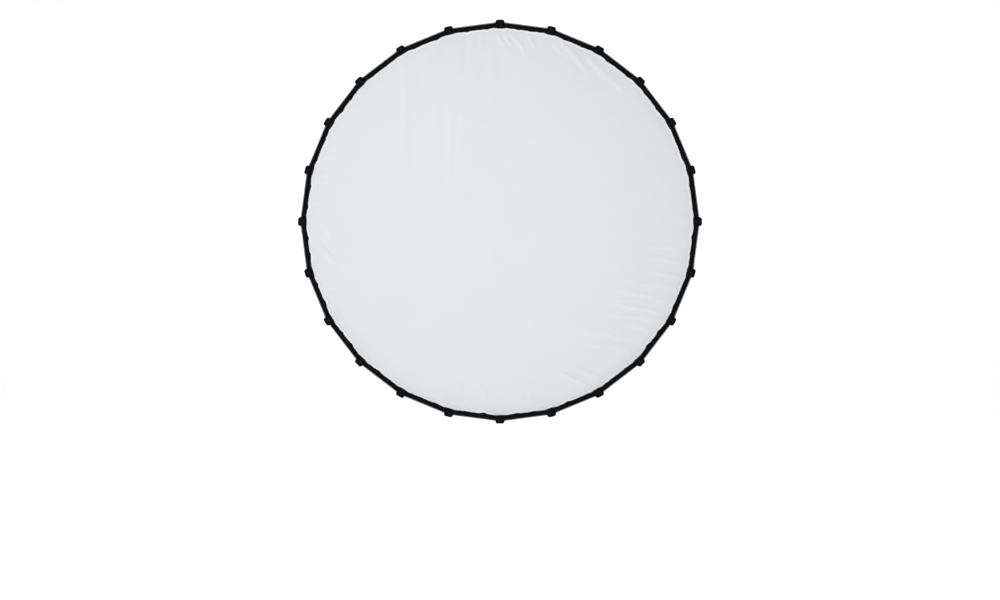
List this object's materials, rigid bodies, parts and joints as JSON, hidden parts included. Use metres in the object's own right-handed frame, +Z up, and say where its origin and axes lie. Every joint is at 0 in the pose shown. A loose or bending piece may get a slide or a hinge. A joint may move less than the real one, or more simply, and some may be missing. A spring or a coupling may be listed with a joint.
{
  "type": "folding round softbox",
  "caption": "Round folding light modifier: deep black fabric bowl on hinged ribs, white front diffuser, bayonet mount at the back.",
  "frame": {"origin": "on the lamp's axis, in the plane of the bayonet flange's back face", "axes": "+Y along the lamp's axis to the back, where the lamp is; -Y is the open front; +Z up, through the top rib"},
  "size_m": [1.212, 0.5696, 1.212],
  "materials": {
    "black_cloth": "matte",
    "white_cloth": "matte",
    "black_glass_fibre": "satin",
    "black_nylon": "matte",
    "black_steel": "satin",
    "satin_aluminium": "satin",
    "zinc_steel": "satin",
    "red_plastic": "gloss"
  },
  "bodies": {
    "frame": {"bayonet_ring": "satin_aluminium", "bayonet_screws": "zinc_steel", "rib_hub": "black_nylon", "rib_hinge_pins": "zinc_steel", "guide_rods": "zinc_steel", "outer_shell": "black_cloth", "front_diffuser": "white_cloth", "inner_baffle": "white_cloth"},
    "rib_01": {"rib_01": "black_glass_fibre"},
    "rib_02": {"rib_02": "black_glass_fibre"},
    "rib_03": {"rib_03": "black_glass_fibre"},
    "rib_04": {"rib_04": "black_glass_fibre"},
    "rib_05": {"rib_05": "black_glass_fibre"},
    "rib_06": {"rib_06": "black_glass_fibre"},
    "rib_07": {"rib_07": "black_glass_fibre"},
    "rib_08": {"rib_08": "black_glass_fibre"},
    "rib_09": {"rib_09": "black_glass_fibre"},
    "rib_10": {"rib_10": "black_glass_fibre"},
    "rib_11": {"rib_11": "black_glass_fibre"},
    "rib_12": {"rib_12": "black_glass_fibre"},
    "rib_13": {"rib_13": "black_glass_fibre"},
    "rib_14": {"rib_14": "black_glass_fibre"},
    "rib_15": {"rib_15": "black_glass_fibre"},
    "rib_16": {"rib_16": "black_glass_fibre"},
    "rib_17": {"rib_17": "black_glass_fibre"},
    "rib_18": {"rib_18": "black_glass_fibre"},
    "rib_19": {"rib_19": "black_glass_fibre"},
    "rib_20": {"rib_20": "black_glass_fibre"},
    "rib_21": {"rib_21": "black_glass_fibre"},
    "rib_22": {"rib_22": "black_glass_fibre"},
    "rib_23": {"rib_23": "black_glass_fibre"},
    "rib_24": {"rib_24": "black_glass_fibre"},
    "runner": {"runner_ring": "black_nylon", "runner_pins": "zinc_steel", "button_spring": "zinc_steel"},
    "link_01": {"link_01": "black_steel"},
    "link_02": {"link_02": "black_steel"},
    "link_03": {"link_03": "black_steel"},
    "link_04": {"link_04": "black_steel"},
    "link_05": {"link_05": "black_steel"},
    "link_06": {"link_06": "black_steel"},
    "link_07": {"link_07": "black_steel"},
    "link_08": {"link_08": "black_steel"},
    "link_09": {"link_09": "black_steel"},
    "link_10": {"link_10": "black_steel"},
    "link_11": {"link_11": "black_steel"},
    "link_12": {"link_12": "black_steel"},
    "link_13": {"link_13": "black_steel"},
    "link_14": {"link_14": "black_steel"},
    "link_15": {"link_15": "black_steel"},
    "link_16": {"link_16": "black_steel"},
    "link_17": {"link_17": "black_steel"},
    "link_18": {"link_18": "black_steel"},
    "link_19": {"link_19": "black_steel"},
    "link_20": {"link_20": "black_steel"},
    "link_21": {"link_21": "black_steel"},
    "link_22": {"link_22": "black_steel"},
    "link_23": {"link_23": "black_steel"},
    "link_24": {"link_24": "black_steel"},
    "button": {"release_button": "red_plastic"}
  },
  "joints": [
    {"name": "rib_01_fold", "type": "hinge", "parent": "frame", "child": "rib_01", "pos_m": [0, -0.015, 0.082], "axis": [1, 0, 0], "range_deg": [0, 39.73], "deforming": ["outer_shell", "front_diffuser", "inner_baffle"]},
    {"name": "rib_02_fold", "type": "hinge", "parent": "frame", "child": "rib_02", "pos_m": [0.02122, -0.015, 0.07921], "axis": [0.9659, 0, -0.2588], "range_deg": [0, 39.73]},
    {"name": "rib_03_fold", "type": "hinge", "parent": "frame", "child": "rib_03", "pos_m": [0.041, -0.015, 0.07101], "axis": [0.866, 0, -0.5], "range_deg": [0, 39.73]},
    {"name": "rib_04_fold", "type": "hinge", "parent": "frame", "child": "rib_04", "pos_m": [0.05798, -0.015, 0.05798], "axis": [0.7071, 0, -0.7071], "range_deg": [0, 39.73]},
    {"name": "rib_05_fold", "type": "hinge", "parent": "frame", "child": "rib_05", "pos_m": [0.07101, -0.015, 0.041], "axis": [0.5, 0, -0.866], "range_deg": [0, 39.73]},
    {"name": "rib_06_fold", "type": "hinge", "parent": "frame", "child": "rib_06", "pos_m": [0.07921, -0.015, 0.02122], "axis": [0.2588, 0, -0.9659], "range_deg": [0, 39.73]},
    {"name": "rib_07_fold", "type": "hinge", "parent": "frame", "child": "rib_07", "pos_m": [0.082, -0.015, 0], "axis": [0, 0, -1], "range_deg": [0, 39.73]},
    {"name": "rib_08_fold", "type": "hinge", "parent": "frame", "child": "rib_08", "pos_m": [0.07921, -0.015, -0.02122], "axis": [-0.2588, 0, -0.9659], "range_deg": [0, 39.73]},
    {"name": "rib_09_fold", "type": "hinge", "parent": "frame", "child": "rib_09", "pos_m": [0.07101, -0.015, -0.041], "axis": [-0.5, 0, -0.866], "range_deg": [0, 39.73]},
    {"name": "rib_10_fold", "type": "hinge", "parent": "frame", "child": "rib_10", "pos_m": [0.05798, -0.015, -0.05798], "axis": [-0.7071, 0, -0.7071], "range_deg": [0, 39.73]},
    {"name": "rib_11_fold", "type": "hinge", "parent": "frame", "child": "rib_11", "pos_m": [0.041, -0.015, -0.07101], "axis": [-0.866, 0, -0.5], "range_deg": [0, 39.73]},
    {"name": "rib_12_fold", "type": "hinge", "parent": "frame", "child": "rib_12", "pos_m": [0.02122, -0.015, -0.07921], "axis": [-0.9659, 0, -0.2588], "range_deg": [0, 39.73]},
    {"name": "rib_13_fold", "type": "hinge", "parent": "frame", "child": "rib_13", "pos_m": [0, -0.015, -0.082], "axis": [-1, 0, 0], "range_deg": [0, 39.73]},
    {"name": "rib_14_fold", "type": "hinge", "parent": "frame", "child": "rib_14", "pos_m": [-0.02122, -0.015, -0.07921], "axis": [-0.9659, 0, 0.2588], "range_deg": [0, 39.73]},
    {"name": "rib_15_fold", "type": "hinge", "parent": "frame", "child": "rib_15", "pos_m": [-0.041, -0.015, -0.07101], "axis": [-0.866, 0, 0.5], "range_deg": [0, 39.73]},
    {"name": "rib_16_fold", "type": "hinge", "parent": "frame", "child": "rib_16", "pos_m": [-0.05798, -0.015, -0.05798], "axis": [-0.7071, 0, 0.7071], "range_deg": [0, 39.73]},
    {"name": "rib_17_fold", "type": "hinge", "parent": "frame", "child": "rib_17", "pos_m": [-0.07101, -0.015, -0.041], "axis": [-0.5, 0, 0.866], "range_deg": [0, 39.73]},
    {"name": "rib_18_fold", "type": "hinge", "parent": "frame", "child": "rib_18", "pos_m": [-0.07921, -0.015, -0.02122], "axis": [-0.2588, 0, 0.9659], "range_deg": [0, 39.73]},
    {"name": "rib_19_fold", "type": "hinge", "parent": "frame", "child": "rib_19", "pos_m": [-0.082, -0.015, 0], "axis": [0, 0, 1], "range_deg": [0, 39.73]},
    {"name": "rib_20_fold", "type": "hinge", "parent": "frame", "child": "rib_20", "pos_m": [-0.07921, -0.015, 0.02122], "axis": [0.2588, 0, 0.9659], "range_deg": [0, 39.73]},
    {"name": "rib_21_fold", "type": "hinge", "parent": "frame", "child": "rib_21", "pos_m": [-0.07101, -0.015, 0.041], "axis": [0.5, 0, 0.866], "range_deg": [0, 39.73]},
    {"name": "rib_22_fold", "type": "hinge", "parent": "frame", "child": "rib_22", "pos_m": [-0.05798, -0.015, 0.05798], "axis": [0.7071, 0, 0.7071], "range_deg": [0, 39.73]},
    {"name": "rib_23_fold", "type": "hinge", "parent": "frame", "child": "rib_23", "pos_m": [-0.041, -0.015, 0.07101], "axis": [0.866, 0, 0.5], "range_deg": [0, 39.73]},
    {"name": "rib_24_fold", "type": "hinge", "parent": "frame", "child": "rib_24", "pos_m": [-0.02122, -0.015, 0.07921], "axis": [0.9659, 0, 0.2588], "range_deg": [0, 39.73]},
    {"name": "runner_slide", "type": "slide", "parent": "frame", "child": "runner", "axis": [0, -1, 0], "range_m": [0, 0.01857]},
    {"name": "link_01_swing", "type": "hinge", "parent": "runner", "child": "link_01", "pos_m": [0, -0.0651, 0.062], "axis": [1, 0, 0], "range_deg": [-14.35, 0]},
    {"name": "link_02_swing", "type": "hinge", "parent": "runner", "child": "link_02", "pos_m": [0.01605, -0.0651, 0.05989], "axis": [0.9659, 0, -0.2588], "range_deg": [-14.35, 0]},
    {"name": "link_03_swing", "type": "hinge", "parent": "runner", "child": "link_03", "pos_m": [0.031, -0.0651, 0.05369], "axis": [0.866, 0, -0.5], "range_deg": [-14.35, 0]},
    {"name": "link_04_swing", "type": "hinge", "parent": "runner", "child": "link_04", "pos_m": [0.04384, -0.0651, 0.04384], "axis": [0.7071, 0, -0.7071], "range_deg": [-14.35, 0]},
    {"name": "link_05_swing", "type": "hinge", "parent": "runner", "child": "link_05", "pos_m": [0.05369, -0.0651, 0.031], "axis": [0.5, 0, -0.866], "range_deg": [-14.35, 0]},
    {"name": "link_06_swing", "type": "hinge", "parent": "runner", "child": "link_06", "pos_m": [0.05989, -0.0651, 0.01605], "axis": [0.2588, 0, -0.9659], "range_deg": [-14.35, 0]},
    {"name": "link_07_swing", "type": "hinge", "parent": "runner", "child": "link_07", "pos_m": [0.062, -0.0651, 0], "axis": [0, 0, -1], "range_deg": [-14.35, 0]},
    {"name": "link_08_swing", "type": "hinge", "parent": "runner", "child": "link_08", "pos_m": [0.05989, -0.0651, -0.01605], "axis": [-0.2588, 0, -0.9659], "range_deg": [-14.35, 0]},
    {"name": "link_09_swing", "type": "hinge", "parent": "runner", "child": "link_09", "pos_m": [0.05369, -0.0651, -0.031], "axis": [-0.5, 0, -0.866], "range_deg": [-14.35, 0]},
    {"name": "link_10_swing", "type": "hinge", "parent": "runner", "child": "link_10", "pos_m": [0.04384, -0.0651, -0.04384], "axis": [-0.7071, 0, -0.7071], "range_deg": [-14.35, 0]},
    {"name": "link_11_swing", "type": "hinge", "parent": "runner", "child": "link_11", "pos_m": [0.031, -0.0651, -0.05369], "axis": [-0.866, 0, -0.5], "range_deg": [-14.35, 0]},
    {"name": "link_12_swing", "type": "hinge", "parent": "runner", "child": "link_12", "pos_m": [0.01605, -0.0651, -0.05989], "axis": [-0.9659, 0, -0.2588], "range_deg": [-14.35, 0]},
    {"name": "link_13_swing", "type": "hinge", "parent": "runner", "child": "link_13", "pos_m": [0, -0.0651, -0.062], "axis": [-1, 0, 0], "range_deg": [-14.35, 0]},
    {"name": "link_14_swing", "type": "hinge", "parent": "runner", "child": "link_14", "pos_m": [-0.01605, -0.0651, -0.05989], "axis": [-0.9659, 0, 0.2588], "range_deg": [-14.35, 0]},
    {"name": "link_15_swing", "type": "hinge", "parent": "runner", "child": "link_15", "pos_m": [-0.031, -0.0651, -0.05369], "axis": [-0.866, 0, 0.5], "range_deg": [-14.35, 0]},
    {"name": "link_16_swing", "type": "hinge", "parent": "runner", "child": "link_16", "pos_m": [-0.04384, -0.0651, -0.04384], "axis": [-0.7071, 0, 0.7071], "range_deg": [-14.35, 0]},
    {"name": "link_17_swing", "type": "hinge", "parent": "runner", "child": "link_17", "pos_m": [-0.05369, -0.0651, -0.031], "axis": [-0.5, 0, 0.866], "range_deg": [-14.35, 0]},
    {"name": "link_18_swing", "type": "hinge", "parent": "runner", "child": "link_18", "pos_m": [-0.05989, -0.0651, -0.01605], "axis": [-0.2588, 0, 0.9659], "range_deg": [-14.35, 0]},
    {"name": "link_19_swing", "type": "hinge", "parent": "runner", "child": "link_19", "pos_m": [-0.062, -0.0651, 0], "axis": [0, 0, 1], "range_deg": [-14.35, 0]},
    {"name": "link_20_swing", "type": "hinge", "parent": "runner", "child": "link_20", "pos_m": [-0.05989, -0.0651, 0.01605], "axis": [0.2588, 0, 0.9659], "range_deg": [-14.35, 0]},
    {"name": "link_21_swing", "type": "hinge", "parent": "runner", "child": "link_21", "pos_m": [-0.05369, -0.0651, 0.031], "axis": [0.5, 0, 0.866], "range_deg": [-14.35, 0]},
    {"name": "link_22_swing", "type": "hinge", "parent": "runner", "child": "link_22", "pos_m": [-0.04384, -0.0651, 0.04384], "axis": [0.7071, 0, 0.7071], "range_deg": [-14.35, 0]},
    {"name": "link_23_swing", "type": "hinge", "parent": "runner", "child": "link_23", "pos_m": [-0.031, -0.0651, 0.05369], "axis": [0.866, 0, 0.5], "range_deg": [-14.35, 0]},
    {"name": "link_24_swing", "type": "hinge", "parent": "runner", "child": "link_24", "pos_m": [-0.01605, -0.0651, 0.05989], "axis": [0.9659, 0, 0.2588], "range_deg": [-14.35, 0]},
    {"name": "button_press", "type": "slide", "parent": "runner", "child": "button", "axis": [0, 0, -1], "range_m": [0, 0.002], "stiffness_N_per_m": 400, "springref_m": -0.003, "deforming": ["button_spring"]}
  ],
  "couplings": [
    {"joint": "rib_02_fold", "follows": "rib_01_fold", "ratio": 1},
    {"joint": "rib_03_fold", "follows": "rib_01_fold", "ratio": 1},
    {"joint": "rib_04_fold", "follows": "rib_01_fold", "ratio": 1},
    {"joint": "rib_05_fold", "follows": "rib_01_fold", "ratio": 1},
    {"joint": "rib_06_fold", "follows": "rib_01_fold", "ratio": 1},
    {"joint": "rib_07_fold", "follows": "rib_01_fold", "ratio": 1},
    {"joint": "rib_08_fold", "follows": "rib_01_fold", "ratio": 1},
    {"joint": "rib_09_fold", "follows": "rib_01_fold", "ratio": 1},
    {"joint": "rib_10_fold", "follows": "rib_01_fold", "ratio": 1},
    {"joint": "rib_11_fold", "follows": "rib_01_fold", "ratio": 1},
    {"joint": "rib_12_fold", "follows": "rib_01_fold", "ratio": 1},
    {"joint": "rib_13_fold", "follows": "rib_01_fold", "ratio": 1},
    {"joint": "rib_14_fold", "follows": "rib_01_fold", "ratio": 1},
    {"joint": "rib_15_fold", "follows": "rib_01_fold", "ratio": 1},
    {"joint": "rib_16_fold", "follows": "rib_01_fold", "ratio": 1},
    {"joint": "rib_17_fold", "follows": "rib_01_fold", "ratio": 1},
    {"joint": "rib_18_fold", "follows": "rib_01_fold", "ratio": 1},
    {"joint": "rib_19_fold", "follows": "rib_01_fold", "ratio": 1},
    {"joint": "rib_20_fold", "follows": "rib_01_fold", "ratio": 1},
    {"joint": "rib_21_fold", "follows": "rib_01_fold", "ratio": 1},
    {"joint": "rib_22_fold", "follows": "rib_01_fold", "ratio": 1},
    {"joint": "rib_23_fold", "follows": "rib_01_fold", "ratio": 1},
    {"joint": "rib_24_fold", "follows": "rib_01_fold", "ratio": 1},
    {"joint": "runner_slide", "follows": "rib_01_fold", "m_per_rad": 0.026768},
    {"joint": "link_01_swing", "follows": "rib_01_fold", "ratio": -0.3612},
    {"joint": "link_02_swing", "follows": "rib_01_fold", "ratio": -0.3612},
    {"joint": "link_03_swing", "follows": "rib_01_fold", "ratio": -0.3612},
    {"joint": "link_04_swing", "follows": "rib_01_fold", "ratio": -0.3612},
    {"joint": "link_05_swing", "follows": "rib_01_fold", "ratio": -0.3612},
    {"joint": "link_06_swing", "follows": "rib_01_fold", "ratio": -0.3612},
    {"joint": "link_07_swing", "follows": "rib_01_fold", "ratio": -0.3612},
    {"joint": "link_08_swing", "follows": "rib_01_fold", "ratio": -0.3612},
    {"joint": "link_09_swing", "follows": "rib_01_fold", "ratio": -0.3612},
    {"joint": "link_10_swing", "follows": "rib_01_fold", "ratio": -0.3612},
    {"joint": "link_11_swing", "follows": "rib_01_fold", "ratio": -0.3612},
    {"joint": "link_12_swing", "follows": "rib_01_fold", "ratio": -0.3612},
    {"joint": "link_13_swing", "follows": "rib_01_fold", "ratio": -0.3612},
    {"joint": "link_14_swing", "follows": "rib_01_fold", "ratio": -0.3612},
    {"joint": "link_15_swing", "follows": "rib_01_fold", "ratio": -0.3612},
    {"joint": "link_16_swing", "follows": "rib_01_fold", "ratio": -0.3612},
    {"joint": "link_17_swing", "follows": "rib_01_fold", "ratio": -0.3612},
    {"joint": "link_18_swing", "follows": "rib_01_fold", "ratio": -0.3612},
    {"joint": "link_19_swing", "follows": "rib_01_fold", "ratio": -0.3612},
    {"joint": "link_20_swing", "follows": "rib_01_fold", "ratio": -0.3612},
    {"joint": "link_21_swing", "follows": "rib_01_fold", "ratio": -0.3612},
    {"joint": "link_22_swing", "follows": "rib_01_fold", "ratio": -0.3612},
    {"joint": "link_23_swing", "follows": "rib_01_fold", "ratio": -0.3612},
    {"joint": "link_24_swing", "follows": "rib_01_fold", "ratio": -0.3612}
  ]
}
